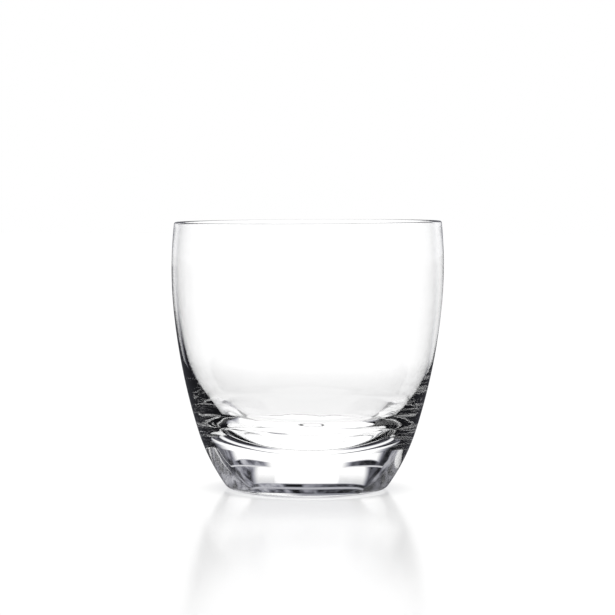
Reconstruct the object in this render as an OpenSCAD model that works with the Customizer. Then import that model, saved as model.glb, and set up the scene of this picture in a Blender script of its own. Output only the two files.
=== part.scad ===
// Rounded whiskey tumbler, formed from one gather of clear glass.
// The outline and the cavity are each a chain of arcs that meet tangentially, turned about Z.
// Origin: centre of the foot, on the surface that the tumbler stands on. Millimetres.

/* [Outside] */
// Height of the rim above the table
height = 89.3; // [85:0.1:94]
// Diameter at the belly, the widest place
belly_d = 90.8; // [89:0.2:95]
// Height of the widest place
belly_z = 74; // [73:0.5:76]
// Radius of the arc that runs through the belly and up to the rim
belly_arc = 140; // [136:1:144]
// Radius of the flatter arc below the belly
flank_arc = 200; // [190:5:220]
// Lean of the wall where the flank arc starts, in degrees
flank_lean = 5.4; // [4.4:0.2:6.4]
// Radius of the arc that turns the wall in under the glass
bowl_arc = 66.7; // [62:0.1:72]
// Lean of the wall where the bowl arc starts, in degrees
bowl_lean = 17.4; // [16.6:0.2:18.6]
// Radius of the corner between the bowl and the foot
foot_arc = 3.5; // [2.5:0.1:5]

/* [Rim] */
// Thickness of the rounded lip, a little more than the wall's
lip_t = 1.45; // [1.3:0.05:1.8]

/* [Cavity] */
// Thickness of the wall at the belly
wall_t = 1.2; // [1:0.05:1.3]
// Thickness of the base at its centre
base_t = 16.4; // [15.8:0.2:16.8]
// Lean of the inner wall where it starts to thicken, in degrees
shoulder_lean = 12.6; // [12:0.2:13]
// Radius of the inner arc over which the wall thickens towards the base
shoulder_arc = 58; // [56:1:60]
// Lean of the inner wall where it turns into the floor, in degrees
round_lean = 30; // [29.4:0.2:30.4]
// Radius of the round between the inner wall and the floor of the cavity
round_arc = 12; // [11:0.5:13]

/* [Underside] */
// Width of the flat ring that the tumbler stands on
ring_w = 11.2; // [8:0.2:12.6]
// Depth of the shallow hollow inside the ring
hollow_h = 0.8; // [0.4:0.1:1.2]

/* [Hidden] */
$fn = 180;
over = 0.4;

// Unit vector from an arc's centre to the wall, where the wall leans by angle a
function out_at(a) = [cos(a), -sin(a)];
// Centre of an arc of radius r_to that carries on from the arc (c, r_from) at lean a
function next_centre(c, r_from, r_to, a) = c + (r_from - r_to) * out_at(a);
// Height at which the arc (c, r) has lean a
function height_at(c, r, a) = c.y - r * sin(a);

// Outside, from the belly down to the foot
belly_c = [belly_d / 2 - belly_arc, belly_z];
flank_c = next_centre(belly_c, belly_arc, flank_arc, flank_lean);
bowl_c = next_centre(flank_c, flank_arc, bowl_arc, bowl_lean);
foot_reach = bowl_arc - foot_arc;
foot_c = [bowl_c.x + sqrt(pow(foot_reach, 2) - pow(bowl_c.y - foot_arc, 2)), foot_arc];
flank_top = height_at(belly_c, belly_arc, flank_lean);
bowl_top = height_at(flank_c, flank_arc, bowl_lean);
foot_top = bowl_c.y + (foot_c.y - bowl_c.y) * bowl_arc / foot_reach;

// Lip: a round bead that touches the belly arc from inside
lip_r = lip_t / 2;
lip_z = height - lip_r;
lip_rise = lip_z - belly_z;
lip_c = [belly_c.x + sqrt(pow(belly_arc - lip_r, 2) - pow(lip_rise, 2)), lip_z];

// Cavity above the belly: an arc that is upright at the belly and touches the bead
inner_belly_r = belly_d / 2 - wall_t;
bead_gap = inner_belly_r - lip_c.x;
throat_arc = (pow(lip_rise, 2) + pow(bead_gap, 2) - pow(lip_r, 2)) / (2 * (lip_r + bead_gap));
throat_c = [inner_belly_r - throat_arc, belly_z];

// Cavity below the belly, down to a floor arc centred on the axis
wall_arc = belly_arc - wall_t;
shoulder_c = next_centre(belly_c, wall_arc, shoulder_arc, shoulder_lean);
round_c = next_centre(shoulder_c, shoulder_arc, round_arc, round_lean);
shoulder_top = height_at(belly_c, wall_arc, shoulder_lean);
round_top = height_at(shoulder_c, shoulder_arc, round_lean);
round_drop = round_c.y - base_t;
floor_arc = (pow(round_arc, 2) - pow(round_c.x, 2) - pow(round_drop, 2))
    / (2 * (round_arc - round_drop));
floor_c = [0, base_t + floor_arc];
floor_top = floor_c.y + (round_c.y - floor_c.y) * floor_arc / (floor_arc - round_arc);

// Underside: a shallow dish inside the standing ring
hollow_r = foot_c.x - ring_w;
hollow_arc = (pow(hollow_r, 2) + pow(hollow_h, 2)) / (2 * hollow_h);

// The part of a disc that lies between two heights, on the outer side of the axis
module slice(c, r, low, high) {
    intersection() {
        translate(c) circle(r);
        translate([0, low]) square([belly_d, high - low]);
    }
}

module outside() {
    slice(belly_c, belly_arc, flank_top - over, lip_z);
    slice(flank_c, flank_arc, bowl_top, flank_top);
    slice(bowl_c, bowl_arc, foot_top, bowl_top + over);
    slice(foot_c, foot_arc, 0, foot_top + over);
    square([foot_c.x, foot_top + over]);
}

module cavity() {
    slice(throat_c, throat_arc, belly_z, height + over);
    slice(belly_c, wall_arc, shoulder_top, belly_z);
    slice(shoulder_c, shoulder_arc, round_top, shoulder_top + over);
    slice(round_c, round_arc, floor_top, round_top + over);
    translate([0, floor_top]) square([round_c.x, round_top + over - floor_top]);
    slice(floor_c, floor_arc, base_t - over, floor_top);
}

module tumbler() {
    color("lightcyan", 0.4)
    rotate_extrude() {
        difference() {
            outside();
            cavity();
            slice([0, hollow_h - hollow_arc], hollow_arc, -over, hollow_h + over);
        }
        translate(lip_c) circle(lip_r);
    }
}

tumbler();
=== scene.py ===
"""Clear glass whiskey tumbler on a pale floor, with bright-field studio light behind it."""

import math

import bpy
import numpy as np
from mathutils import Matrix, Vector


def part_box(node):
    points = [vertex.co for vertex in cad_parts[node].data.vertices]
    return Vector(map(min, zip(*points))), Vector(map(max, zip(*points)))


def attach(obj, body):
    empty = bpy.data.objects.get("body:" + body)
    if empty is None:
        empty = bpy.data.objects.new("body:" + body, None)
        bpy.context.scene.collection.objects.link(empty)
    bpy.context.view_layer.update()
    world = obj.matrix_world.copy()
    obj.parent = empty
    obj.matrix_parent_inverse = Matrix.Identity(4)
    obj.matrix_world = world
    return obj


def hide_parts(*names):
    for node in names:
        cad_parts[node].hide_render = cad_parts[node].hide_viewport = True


MM = 0.001

# The tumbler's outline, in millimetres and degrees, as in its CAD source
BELLY_Z = 74.0
BELLY_ARC = 140.0
FLANK_ARC = 200.0
FLANK_LEAN = 5.4
BOWL_ARC = 66.7
BOWL_LEAN = 17.4
FOOT_ARC = 3.5
LIP_THICKNESS = 1.45
WALL_THICKNESS = 1.2
BASE_THICKNESS = 16.4
SHOULDER_LEAN = 12.6
SHOULDER_ARC = 58.0
ROUND_LEAN = 30.0
ROUND_ARC = 12.0
RING_WIDTH = 11.2
HOLLOW_DEPTH = 0.8

# Mesh density: steps round the glass, millimetres along its outline, least points in an arc
SEGMENTS = 288
STEP = 0.5
FINE_STEP = 0.15
LEAST_POINTS = 3

# What makes this glass a made thing rather than a perfect turned body, in millimetres and
# degrees. The waves die out inside WAVE_RADIUS, and NEAR_AXIS keeps them finite there.
CAVITY_SHEAR = 0.75
SHEAR_TOP_Z = 75.0
RIM_TILT = 0.55
RIM_TILT_DEPTH = 45.0
WAVE_HEIGHT = 0.05
WAVE_Z = 25.0
WAVE_SPREAD = 5.0
WAVE_RADIUS = 12.0
NEAR_AXIS = 1.0
# Waves in the inner surface: times round the glass, turns per mm of height, phase, share
WAVES = (
    (5, 0.020, 1.0, 0.7),
    (11, -0.050, 0.0, 0.6),
    (19, 0.060, 2.0, 0.4),
    (31, 0.090, 0.5, 0.2),
)

# Glass material: polish and swirl are noises in its roughness and in its surface. The
# swirl's depth is in metres.
WHITE = (1.0, 1.0, 1.0, 1.0)
GLASS_IOR = 1.52
POLISH_SCALE = 60.0
POLISH_DETAIL = 3.0
POLISH_RANGE = (0.35, 0.8)
ROUGHEST = 0.012
SWIRL_SCALE = 45.0
SWIRL_DETAIL = 1.0
SWIRL_DEPTH = 0.00002


def unit(lean):
    """From an arc's centre to the wall, where the wall leans by lean degrees."""
    angle = math.radians(lean)
    return np.array([math.cos(angle), -math.sin(angle)])


def bearing(centre, point):
    """Angle of point seen from centre, in degrees."""
    return math.degrees(math.atan2(point[1] - centre[1], point[0] - centre[0]))


def arc(centre, radius, start, end, step=STEP):
    """Points along an arc from start to end degrees."""
    length = abs(math.radians(end - start)) * radius
    count = max(LEAST_POINTS, math.ceil(length / step) + 1)
    angles = np.radians(np.linspace(start, end, count))
    return np.stack(
        [centre[0] + radius * np.cos(angles), centre[1] + radius * np.sin(angles)], 1
    )


def outline(height, belly_radius):
    """Half section from the underside's centre, out and up to the lip, and down the
    cavity to its floor's centre. Returns the points and where the cavity starts."""
    belly = np.array([belly_radius - BELLY_ARC, BELLY_Z])
    flank = belly + (BELLY_ARC - FLANK_ARC) * unit(FLANK_LEAN)
    bowl = flank + (FLANK_ARC - BOWL_ARC) * unit(BOWL_LEAN)
    foot_reach = BOWL_ARC - FOOT_ARC
    foot_x = bowl[0] + math.sqrt(foot_reach**2 - (bowl[1] - FOOT_ARC) ** 2)
    foot = np.array([foot_x, FOOT_ARC])
    foot_angle = bearing(bowl, foot)

    lip_radius = LIP_THICKNESS / 2
    lip_z = height - lip_radius
    rise = lip_z - BELLY_Z
    lip_x = belly[0] + math.sqrt((BELLY_ARC - lip_radius) ** 2 - rise**2)
    lip = np.array([lip_x, lip_z])
    inner_belly = belly_radius - WALL_THICKNESS
    gap = inner_belly - lip_x
    throat_arc = (rise**2 + gap**2 - lip_radius**2) / (2 * (lip_radius + gap))
    throat = np.array([inner_belly - throat_arc, BELLY_Z])

    wall_arc = BELLY_ARC - WALL_THICKNESS
    shoulder = belly + (wall_arc - SHOULDER_ARC) * unit(SHOULDER_LEAN)
    corner = shoulder + (SHOULDER_ARC - ROUND_ARC) * unit(ROUND_LEAN)
    drop = corner[1] - BASE_THICKNESS
    floor_arc = (ROUND_ARC**2 - corner[0] ** 2 - drop**2) / (2 * (ROUND_ARC - drop))
    floor = np.array([0.0, BASE_THICKNESS + floor_arc])
    floor_angle = bearing(floor, corner)

    hollow_radius = foot_x - RING_WIDTH
    hollow_arc = (hollow_radius**2 + HOLLOW_DEPTH**2) / (2 * HOLLOW_DEPTH)
    hollow = np.array([0.0, HOLLOW_DEPTH - hollow_arc])
    hollow_angle = bearing(hollow, (hollow_radius, 0.0))

    lip_start = bearing(belly, lip)
    lip_end = bearing(lip, throat) % 360
    outside = [
        arc(hollow, hollow_arc, 90, hollow_angle),
        np.array([[hollow_radius, 0.0], [foot_x, 0.0]]),
        arc(foot, FOOT_ARC, -90, foot_angle, FINE_STEP),
        arc(bowl, BOWL_ARC, foot_angle, -BOWL_LEAN),
        arc(flank, FLANK_ARC, -BOWL_LEAN, -FLANK_LEAN),
        arc(belly, BELLY_ARC, -FLANK_LEAN, lip_start),
        arc(lip, lip_radius, lip_start, lip_end, FINE_STEP),
    ]
    inside = [
        arc(throat, throat_arc, bearing(throat, lip), 0),
        arc(belly, wall_arc, 0, -SHOULDER_LEAN),
        arc(shoulder, SHOULDER_ARC, -SHOULDER_LEAN, -ROUND_LEAN),
        arc(corner, ROUND_ARC, -ROUND_LEAN, floor_angle, FINE_STEP),
        arc(floor, floor_arc, floor_angle, -90),
    ]
    parts = outside + inside
    points = np.concatenate([parts[0]] + [part[1:] for part in parts[1:]])
    points[0, 0] = 0.0
    points[-1, 0] = 0.0
    cavity_start = sum(len(part) - 1 for part in outside) + 1
    return points, cavity_start


def hand_made(points, inner):
    """Leans the cavity, tilts the rim and puts faint waves into the inner surface."""
    x, y, z = points.T
    moved = points.copy()
    depth = np.clip(SHEAR_TOP_Z - z, 0, None)
    moved[:, 0] += inner * depth * math.tan(math.radians(CAVITY_SHEAR))
    lift = np.clip(1 - (z.max() - z) / RIM_TILT_DEPTH, 0, 1)
    moved[:, 2] += lift * x * math.tan(math.radians(RIM_TILT))
    radius = np.hypot(x, y)
    turn = np.arctan2(y, x)
    wave = sum(
        share * np.sin(times * turn + 2 * math.pi * rate * z + phase)
        for times, rate, phase, share in WAVES
    )
    fade = np.exp(-(((z - WAVE_Z) / WAVE_SPREAD) ** 2)) * np.clip(radius / WAVE_RADIUS, 0, 1)
    push = WAVE_HEIGHT * inner * fade * wave / np.maximum(radius, NEAR_AXIS)
    moved[:, 0] += x * push
    moved[:, 1] += y * push
    return moved


def turned_body(name, height, belly_radius):
    """The whole tumbler as one closed mesh, turned about Z."""
    profile, cavity_start = outline(height, belly_radius)
    ring = profile[1:-1]
    turns = np.linspace(0, 2 * math.pi, SEGMENTS, endpoint=False)
    radius = ring[:, :1]
    level = np.repeat(ring[:, 1:], SEGMENTS, 1)
    sides = np.stack([radius * np.cos(turns), radius * np.sin(turns), level], -1)
    foot = np.array([[0.0, 0.0, profile[0, 1]]])
    floor = np.array([[0.0, 0.0, profile[-1, 1]]])
    points = np.concatenate([foot, sides.reshape(-1, 3), floor])
    rows = np.arange(len(ring)) >= cavity_start - 1
    inner = np.concatenate([[0.0], np.repeat(rows, SEGMENTS), [1.0]])
    points = hand_made(points, inner) * MM

    index = 1 + np.arange(len(ring) * SEGMENTS).reshape(len(ring), SEGMENTS)
    after = np.roll(index, -1, 1)
    quads = np.stack([index[:-1], after[:-1], after[1:], index[1:]], -1)
    faces = quads.reshape(-1, 4).tolist()
    last = len(points) - 1
    faces += [(0, b, a) for a, b in zip(index[0].tolist(), after[0].tolist())]
    faces += [(last, a, b) for a, b in zip(index[-1].tolist(), after[-1].tolist())]
    mesh = bpy.data.meshes.new(name)
    mesh.from_pydata(points.tolist(), [], faces)
    mesh.polygons.foreach_set("use_smooth", [True] * len(mesh.polygons))
    mesh.update()
    piece = bpy.data.objects.new(name, mesh)
    bpy.context.scene.collection.objects.link(piece)
    return piece


class Nodes:
    """Short calls for building one node tree."""

    def __init__(self, tree):
        self.tree = tree
        tree.nodes.clear()

    def add(self, kind, **settings):
        node = self.tree.nodes.new(kind)
        for name, value in settings.items():
            setattr(node, name, value)
        return node

    def feed(self, socket, value):
        """Puts a number or colour on a socket, or links another socket to it."""
        if isinstance(value, bpy.types.NodeSocket):
            self.tree.links.new(value, socket)
        else:
            socket.default_value = value

    def math(self, operation, *values):
        node = self.add("ShaderNodeMath", operation=operation)
        for socket, value in zip(node.inputs, values):
            self.feed(socket, value)
        return node.outputs[0]

    def chain(self, operation, values):
        """The operation on the first two values, then on the result and the next."""
        result = values[0]
        for value in values[1:]:
            result = self.math(operation, result, value)
        return result

    def product(self, *values):
        return self.chain("MULTIPLY", values)

    def highest(self, *values):
        return self.chain("MAXIMUM", values)

    def ramp(self, value, start, end, first, last, kind="SMOOTHSTEP"):
        """first up to start, last from end on, and a gradual change between them."""
        node = self.add("ShaderNodeMapRange", interpolation_type=kind)
        self.feed(node.inputs["Value"], value)
        self.feed(node.inputs["From Min"], start)
        self.feed(node.inputs["From Max"], end)
        self.feed(node.inputs["To Min"], first)
        self.feed(node.inputs["To Max"], last)
        return node.outputs[0]

    def above(self, value, edge, soft):
        """0 below edge and 1 above it, with a soft change."""
        return self.ramp(value, edge - soft, edge + soft, 0.0, 1.0)

    def below(self, value, edge, soft):
        """1 below edge and 0 above it, with a soft change."""
        return self.math("SUBTRACT", 1.0, self.above(value, edge, soft))

    def between(self, value, low, high, soft):
        """1 between low and high and 0 outside them, with soft changes."""
        return self.product(self.above(value, low, soft), self.below(value, high, soft))

    def choose(self, test, yes, no):
        """yes where test is 1, and no where it is 0."""
        node = self.add("ShaderNodeMix", data_type="FLOAT")
        self.feed(node.inputs[0], test)
        self.feed(node.inputs[2], no)
        self.feed(node.inputs[3], yes)
        return node.outputs[0]

    def noise(self, place, scale, detail):
        node = self.add("ShaderNodeTexNoise")
        self.feed(node.inputs["Vector"], place)
        node.inputs["Scale"].default_value = scale
        node.inputs["Detail"].default_value = detail
        return node.outputs[0]

    def split(self, vector):
        """The x, y and z of a vector."""
        node = self.add("ShaderNodeSeparateXYZ")
        self.feed(node.inputs[0], vector)
        return node.outputs

    def bearing(self, x, y):
        """Degrees from straight behind the glass, which is +Y, towards +X."""
        return self.math("DEGREES", self.math("ARCTAN2", x, y))


def glass_material():
    """Colourless glass: a faint noise in its polish, and a fainter one in its surface."""
    material = bpy.data.materials.new("clear_glass")
    material.use_nodes = True
    nodes = Nodes(material.node_tree)
    output = nodes.add("ShaderNodeOutputMaterial")
    shader = nodes.add("ShaderNodeBsdfPrincipled")
    shader.inputs["Base Color"].default_value = WHITE
    shader.inputs["Transmission Weight"].default_value = 1.0
    shader.inputs["IOR"].default_value = GLASS_IOR
    place = nodes.add("ShaderNodeTexCoord").outputs["Object"]

    polish = nodes.noise(place, POLISH_SCALE, POLISH_DETAIL)
    roughness = nodes.ramp(polish, *POLISH_RANGE, 0.0, ROUGHEST, "LINEAR")
    nodes.feed(shader.inputs["Roughness"], roughness)

    bump = nodes.add("ShaderNodeBump")
    bump.inputs["Strength"].default_value = 1.0
    bump.inputs["Distance"].default_value = SWIRL_DEPTH
    nodes.feed(bump.inputs["Height"], nodes.noise(place, SWIRL_SCALE, SWIRL_DETAIL))
    nodes.feed(shader.inputs["Normal"], bump.outputs[0])
    nodes.feed(output.inputs["Surface"], shader.outputs[0])
    return material


# Studio light. Heights are degrees above the floor, and bearings are degrees from straight
# behind the glass: left is below 0 and right above it, as the camera looks. Each _SOFT is
# half the width of a soft edge. Each _RISE lifts an edge with the bearing squared, or for
# the backdrop with its fourth power, so that the edge looks curved. Levels are shares of
# the backdrop's white.
GAIN = 1.2
DARK = 0.003
HALF_QUARTER = 45.0
BACKDROP_TOP = 20.3
BACKDROP_RISE = 2.8e-6
BACKDROP_SOFT = 0.4
BACKDROP_HALF = 36.5
BACKDROP_SIDE_SOFT = 4.0
SEAM_TOP = 19.0
SEAM_SOFT = 1.0
PANEL_LOW = 21.0
PANEL_LOW_RISE = 0.0047
PANEL_LOW_SOFT = 0.4
PANEL_HIGH = 28.0
PANEL_HIGH_RISE = 0.0075
PANEL_HIGH_SOFT = 0.5
PANEL_LEFT = -30.0
PANEL_RIGHT = 25.0
PANEL_SIDE_SOFT = 3.0
PANEL_FLARE = 0.6
PANEL_MIDDLE = 26.0
PANEL_FADE_START = 24.5
PANEL_FADE_SOFT = 3.0
PANEL_FADE_LEVEL = 0.68
BRIDGE_HALF = 17.0
BRIDGE_SOFT = 4.0
GAP_DARK = 0.008
GAP_LEFT = 0.12
GAP_RIGHT = 0.5
GAP_SIDE_SOFT = 30.0
GAP_SCALE = 9.0
GLINT_HEIGHT = 30.6
GLINT_HALF = 0.7
GLINT_SOFT = 0.4
GLINT_LEVEL = 0.45
EDGE_HALF = 0.35
EDGE_SOFT = 0.3
EDGE_LEVEL = 0.7
OVERHEAD_EDGE = 35.0
OVERHEAD_RISE = 0.01
OVERHEAD_SOFT = 0.8
OVERHEAD_SIDE = 8.0
OVERHEAD_SIDE_SOFT = 8.0
OVERHEAD_LEFT = 0.3
OVERHEAD_RIGHT = 1.0
STRIP_LEFT = -31.0
STRIP_RIGHT = 39.0
STRIP_SOFT = 7.0
ZENITH_EDGE = 65.0
ZENITH_SOFT = 4.0
LOW_LIGHT = 12.0
LOW_LIGHT_SOFT = 1.0
ROOM_MIRRORED = 0.25
BASE_IN_FLOOR = 0.3

# Dim light is a little blue, up to white at TINT_MIDDLE + TINT_SOFT
DIM_TINT = (0.84, 0.85, 1.0, 1.0)
TINT_MIDDLE = 0.5
TINT_SOFT = 0.5

# The part of a noise's range over which a cloudy level goes from dark to bright
CLOUD_RANGE = (0.38, 0.68)
CLOUD_DETAIL = 3.0

# Mirrored this many times, a ray no longer meets the strip
OFTEN = 10

# Floor. Places are in metres from the tumbler's axis, and levels as for the studio light.
STAGE_SIZE = 8.0
FILM_DEPTH = 0.00001
FLOOR_DEPTH = 0.00002
FLOOR_MIRRORED = 0.07
UNDER_RADIUS = 0.0275
UNDER_SOFT = 0.001
STREAK_SCALE = 60.0
STREAK_REACH = 0.11
STREAK_LEVEL = 0.25
STREAK_ASIDE = 0.006
STREAK_SOFT = 0.003
STREAK_BEHIND = 0.005
# Painted shade near the glass in the open floor's glow: its level, and where it starts and
# ends
SHADE_LEVEL = 0.8
SHADE_START = 0.03
SHADE_END = 0.3
# Painted shade round the foot in the floor's glow that the camera sees: its darkest level,
# and where it starts and ends, in metres from the axis
PAINTED_CONTACT_SHADE_LEVEL = 0.76
PAINTED_CONTACT_SHADE_START = 0.024
PAINTED_CONTACT_SHADE_END = 0.04
FLOOR_SEEN = 1.05
SHEEN_SHARE = 0.3
SHEEN_ROUGHNESS = 0.15


class Path:
    """What a ray has been through, as 0 or 1: seen directly by the camera, past two
    surfaces, three or five, mirrored once, twice or often, and off the floor."""

    def __init__(self, nodes):
        path = nodes.add("ShaderNodeLightPath")

        def at_least(output, count):
            return nodes.math("GREATER_THAN", path.outputs[output], count - 0.5)

        self.camera = path.outputs["Is Camera Ray"]
        self.two = at_least("Transmission Depth", 2)
        self.three = at_least("Transmission Depth", 3)
        self.five = at_least("Transmission Depth", 5)
        self.mirrored = at_least("Glossy Depth", 1)
        self.mirrored_twice = at_least("Glossy Depth", 2)
        self.mirrored_often = at_least("Glossy Depth", OFTEN)
        self.off_floor = at_least("Transparent Depth", 2)


class Sky:
    """A direction out of the scene, as a height and a bearing in degrees. quarter is the
    bearing folded into a quarter turn, so that the lights repeat on four sides."""

    def __init__(self, nodes):
        self.nodes = nodes
        self.direction = nodes.add("ShaderNodeTexCoord").outputs["Generated"]
        x, y, z = nodes.split(self.direction)
        self.height = nodes.math("DEGREES", nodes.math("ARCSINE", z))
        self.side = nodes.bearing(x, y)
        self.quarter = nodes.math("WRAP", self.side, HALF_QUARTER, -HALF_QUARTER)
        self.squared = nodes.product(self.quarter, self.quarter)
        self.fourth = nodes.product(self.squared, self.squared)

    def over(self, rise, bend):
        """Height over a line that rises with bend, a power of the bearing."""
        return self.nodes.math("SUBTRACT", self.height, self.nodes.product(bend, rise))

    def line(self, rise, middle, half, soft):
        """A thin line of light, curved as the panel's edges are."""
        height = self.over(rise, self.squared)
        return self.nodes.between(height, middle - half, middle + half, soft)


def tinted(nodes, level):
    """White where the light is bright, and a little blue where it is dim."""
    tint = nodes.add("ShaderNodeMix", data_type="RGBA")
    nodes.feed(tint.inputs[0], nodes.above(level, TINT_MIDDLE, TINT_SOFT))
    tint.inputs[6].default_value = DIM_TINT
    tint.inputs[7].default_value = WHITE
    return tint.outputs[2]


def cloudy(nodes, place, scale, dark, bright):
    """A soft, uneven level between dark and bright."""
    return nodes.ramp(nodes.noise(place, scale, CLOUD_DETAIL), *CLOUD_RANGE, dark, bright)


def backdrop(nodes, sky):
    """White and low behind the glass. Above the seam it ends at both sides."""
    low = nodes.below(sky.over(BACKDROP_RISE, sky.fourth), BACKDROP_TOP, BACKDROP_SOFT)
    width = nodes.between(sky.quarter, -BACKDROP_HALF, BACKDROP_HALF, BACKDROP_SIDE_SOFT)
    width = nodes.highest(width, nodes.below(sky.height, SEAM_TOP, SEAM_SOFT))
    return nodes.product(low, width)


def panel(nodes, sky):
    """A panel over the backdrop, wider and dimmer towards its top, and a bridge of light
    that joins the two in the middle."""
    height = sky.over(PANEL_HIGH_RISE, sky.squared)
    under_top = nodes.below(height, PANEL_HIGH, PANEL_HIGH_SOFT)
    over_low = nodes.above(sky.over(PANEL_LOW_RISE, sky.squared), PANEL_LOW, PANEL_LOW_SOFT)
    flare = nodes.product(nodes.math("SUBTRACT", sky.height, PANEL_MIDDLE), PANEL_FLARE)
    from_left = nodes.math("ADD", sky.quarter, flare)
    from_right = nodes.math("SUBTRACT", sky.quarter, flare)
    across = nodes.product(
        nodes.above(from_left, PANEL_LEFT, PANEL_SIDE_SOFT),
        nodes.below(from_right, PANEL_RIGHT, PANEL_SIDE_SOFT),
    )
    fade = nodes.above(height, PANEL_FADE_START, PANEL_FADE_SOFT)
    fading = nodes.choose(fade, PANEL_FADE_LEVEL, 1.0)
    bridge = nodes.between(sky.quarter, -BRIDGE_HALF, BRIDGE_HALF, BRIDGE_SOFT)
    whole = nodes.product(under_top, over_low, across, fading)
    return nodes.highest(whole, nodes.product(bridge, under_top))


def overhead(nodes, sky):
    """Light from above, dimmer on the left."""
    high = nodes.above(sky.over(OVERHEAD_RISE, sky.squared), OVERHEAD_EDGE, OVERHEAD_SOFT)
    left = nodes.below(sky.quarter, OVERHEAD_SIDE, OVERHEAD_SIDE_SOFT)
    return nodes.product(high, nodes.choose(left, OVERHEAD_LEFT, OVERHEAD_RIGHT))


def glints(nodes, sky):
    """A thin line of light over the panel and a thinner one along its lower edge."""
    upper = sky.line(PANEL_HIGH_RISE, GLINT_HEIGHT, GLINT_HALF, GLINT_SOFT)
    lower = sky.line(PANEL_LOW_RISE, PANEL_LOW, EDGE_HALF, EDGE_SOFT)
    return nodes.highest(nodes.product(upper, GLINT_LEVEL), nodes.product(lower, EDGE_LEVEL))


def gap(nodes, sky):
    """What shows between the lights: cloudy and dim, and brighter to the right."""
    right = nodes.above(sky.quarter, 0.0, GAP_SIDE_SOFT)
    brightest = nodes.choose(right, GAP_RIGHT, GAP_LEFT)
    return cloudy(nodes, sky.direction, GAP_SCALE, GAP_DARK, brightest)


def studio_level(nodes, sky, path):
    """How bright the studio is for what a ray has been through. Past no more than one
    surface it meets a dim room. Past two it meets the lights, or the strip if it was
    mirrored. Past three or more it meets white if it was not mirrored, the strip with a
    low light and the clouds if mirrored once, and if mirrored more often white again, or
    the strip once it is past five."""
    clouds = gap(nodes, sky)
    lights = (backdrop(nodes, sky), panel(nodes, sky), overhead(nodes, sky))
    through = nodes.highest(*lights, glints(nodes, sky), clouds)
    strip = nodes.between(sky.side, STRIP_LEFT, STRIP_RIGHT, STRIP_SOFT)
    zenith = nodes.above(sky.height, ZENITH_EDGE, ZENITH_SOFT)
    inside = nodes.highest(strip, zenith, DARK)
    inside = nodes.choose(path.mirrored_often, DARK, inside)
    low = nodes.below(sky.height, LOW_LIGHT, LOW_LIGHT_SOFT)

    twice = nodes.choose(path.mirrored, inside, through)
    more = nodes.choose(path.mirrored, nodes.highest(inside, low, clouds), 1.0)
    more = nodes.choose(path.mirrored_twice, nodes.choose(path.five, inside, 1.0), more)
    level = nodes.choose(path.three, more, twice)
    level = nodes.choose(path.two, level, ROOM_MIRRORED)
    return nodes.product(level, GAIN)


def studio_world():
    """Bright field: a white backdrop low behind the glass, a panel and a dim gap over it,
    light from above, and dark to the sides for what the glass mirrors inside itself. The
    base is dimmed where it shows in the floor. What the camera sees directly, or in the
    floor past fewer than two surfaces, is white."""
    world = bpy.data.worlds.new("studio")
    world.use_nodes = True
    bpy.context.scene.world = world
    nodes = Nodes(world.node_tree)
    output = nodes.add("ShaderNodeOutputWorld")
    light = nodes.add("ShaderNodeBackground")
    path = Path(nodes)
    level = studio_level(nodes, Sky(nodes), path)

    floor_and_glass = nodes.product(path.two, path.off_floor)
    base_in_floor = nodes.choose(path.three, 0.0, floor_and_glass)
    level = nodes.product(level, nodes.choose(base_in_floor, BASE_IN_FLOOR, 1.0))
    direct = nodes.choose(path.two, 0.0, path.off_floor)
    level = nodes.highest(level, path.camera, direct)
    nodes.feed(light.inputs["Color"], tinted(nodes, level))
    nodes.feed(light.inputs["Strength"], level)
    nodes.feed(output.inputs["Surface"], light.outputs[0])


def level_plane(name, material_name, depth):
    """A wide plane just under the foot. Returns it and its material's empty nodes."""
    bpy.ops.mesh.primitive_plane_add(size=STAGE_SIZE, location=(0, 0, -depth))
    plane = bpy.context.object
    plane.name = name
    material = bpy.data.materials.new(material_name)
    material.use_nodes = True
    plane.data.materials.append(material)
    return plane, Nodes(material.node_tree)


def clear_film():
    """A film just over the floor that changes nothing, except that light off the floor
    has been through it, which the studio light's nodes can tell."""
    film, nodes = level_plane("floor_film", "floor_film", FILM_DEPTH)
    output = nodes.add("ShaderNodeOutputMaterial")
    nodes.feed(output.inputs["Surface"], nodes.add("ShaderNodeBsdfTransparent").outputs[0])


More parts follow.
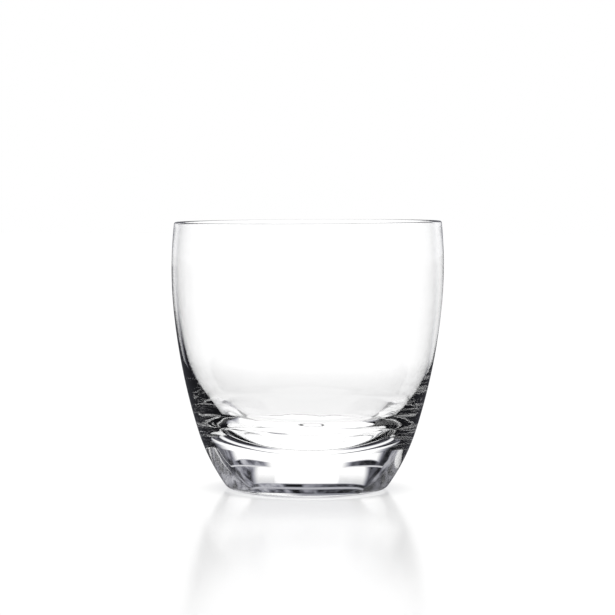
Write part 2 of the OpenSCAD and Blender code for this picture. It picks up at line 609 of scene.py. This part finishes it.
def floor_level(nodes, path):
    """How bright the floor's glow is for what a ray has been through: painted light and
    shade.
    The camera sees it white, with a painted soft shade round the foot. Past two surfaces and
    mirrored, a ray meets a dark floor with painted light under the glass and in the strip,
    and if mirrored only once it meets painted streaks of light and shade close behind the
    glass. Past three surfaces, or past two unmirrored, it meets open floor with a painted
    shade near the glass."""
    place = nodes.add("ShaderNodeTexCoord").outputs["Object"]
    x, y, _ = nodes.split(place)
    reach = nodes.math("SQRT", nodes.math("ADD", nodes.product(x, x), nodes.product(y, y)))
    aside = nodes.math("ABSOLUTE", x)

    # Painted light: for mirrored rays the floor glows bright under the glass and in the
    # strip, and dark elsewhere
    under = nodes.below(reach, UNDER_RADIUS, UNDER_SOFT)
    sector = nodes.between(nodes.bearing(x, y), STRIP_LEFT, STRIP_RIGHT, STRIP_SOFT)
    inside = nodes.highest(under, sector, DARK)
    inside = nodes.choose(path.mirrored_often, DARK, inside)
    # Painted streaks of light and shade in the floor's glow, close behind the glass
    streaks = cloudy(nodes, place, STREAK_SCALE, GAP_DARK, STREAK_LEVEL)
    streaks = nodes.highest(streaks, nodes.below(aside, STREAK_ASIDE, STREAK_SOFT))
    near = nodes.between(reach, UNDER_RADIUS, STREAK_REACH, UNDER_SOFT)
    near = nodes.product(near, nodes.above(y, STREAK_BEHIND, STREAK_BEHIND))
    once = nodes.math("SUBTRACT", 1.0, path.mirrored_twice)
    inside = nodes.choose(nodes.product(near, once), streaks, inside)

    # Painted shade: the open floor glows darker near the glass, up to full white further out
    open_floor = nodes.ramp(reach, SHADE_START, SHADE_END, SHADE_LEVEL, 1.0)
    twice = nodes.choose(path.mirrored, inside, open_floor)
    level = nodes.choose(path.three, open_floor, twice)
    level = nodes.choose(path.two, level, FLOOR_MIRRORED)
    level = nodes.product(level, GAIN)
    # Painted shade: the camera sees the floor's glow darker round the foot, and a little
    # over white further out
    seen = nodes.ramp(reach, PAINTED_CONTACT_SHADE_START, PAINTED_CONTACT_SHADE_END, PAINTED_CONTACT_SHADE_LEVEL, FLOOR_SEEN)
    return nodes.choose(path.camera, seen, level)


def pale_floor():
    """A large white floor that glows, with painted light and shade in its glow, a sheen that
    only the camera sees, and a film over it.
    """
    floor, nodes = level_plane("floor", "pale_floor", FLOOR_DEPTH)
    output = nodes.add("ShaderNodeOutputMaterial")
    path = Path(nodes)
    level = floor_level(nodes, path)
    glow = nodes.add("ShaderNodeEmission")
    nodes.feed(glow.inputs["Color"], tinted(nodes, level))
    nodes.feed(glow.inputs["Strength"], level)
    sheen = nodes.add("ShaderNodeBsdfGlossy", distribution="MULTI_GGX")
    sheen.inputs["Color"].default_value = WHITE
    sheen.inputs["Roughness"].default_value = SHEEN_ROUGHNESS
    both = nodes.add("ShaderNodeMixShader")
    nodes.feed(both.inputs[0], nodes.product(path.camera, SHEEN_SHARE))
    nodes.feed(both.inputs[1], glow.outputs[0])
    nodes.feed(both.inputs[2], sheen.outputs[0])
    nodes.feed(output.inputs["Surface"], both.outputs[0])
    clear_film()


# Camera, in millimetres and degrees: in front of the glass and a little above its rim
CAMERA_DISTANCE = 855.0
CAMERA_HEIGHT = 102.7
AIM_HEIGHT = 60.5
LENS = 150.0
SENSOR_WIDTH = 36.0
CLIP_START = 10.0
CLIP_END = 50000.0
ROLL = 0.25

# How often light may pass or be mirrored before it is dropped
BOUNCES = 24


def place_camera():
    data = bpy.data.cameras.new("camera")
    data.lens = LENS
    data.sensor_width = SENSOR_WIDTH
    data.clip_start = CLIP_START * MM
    data.clip_end = CLIP_END * MM
    camera = bpy.data.objects.new("camera", data)
    bpy.context.scene.collection.objects.link(camera)
    camera.location = (0.0, -CAMERA_DISTANCE * MM, CAMERA_HEIGHT * MM)
    aim = Vector((0.0, 0.0, AIM_HEIGHT * MM)) - camera.location
    roll = Matrix.Rotation(math.radians(ROLL), 4, "Z")
    turn = aim.to_track_quat("-Z", "Y").to_matrix().to_4x4()
    camera.rotation_euler = (turn @ roll).to_euler()
    bpy.context.scene.camera = camera


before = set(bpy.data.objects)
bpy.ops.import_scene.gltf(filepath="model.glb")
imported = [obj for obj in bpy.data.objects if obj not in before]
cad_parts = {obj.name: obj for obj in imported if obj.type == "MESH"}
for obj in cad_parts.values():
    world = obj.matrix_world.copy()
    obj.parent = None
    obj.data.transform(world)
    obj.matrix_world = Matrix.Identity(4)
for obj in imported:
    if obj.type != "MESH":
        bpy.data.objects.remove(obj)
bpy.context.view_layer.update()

low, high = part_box("tumbler")
tumbler = turned_body("tumbler_glass", high.z / MM, (high.x - low.x) / 2 / MM)
tumbler.data.materials.append(glass_material())
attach(tumbler, "root")
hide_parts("tumbler")

pale_floor()
studio_world()
place_camera()

scene = bpy.context.scene
scene.view_settings.view_transform = "Standard"
scene.cycles.max_bounces = BOUNCES
scene.cycles.transmission_bounces = BOUNCES
scene.cycles.glossy_bounces = BOUNCES
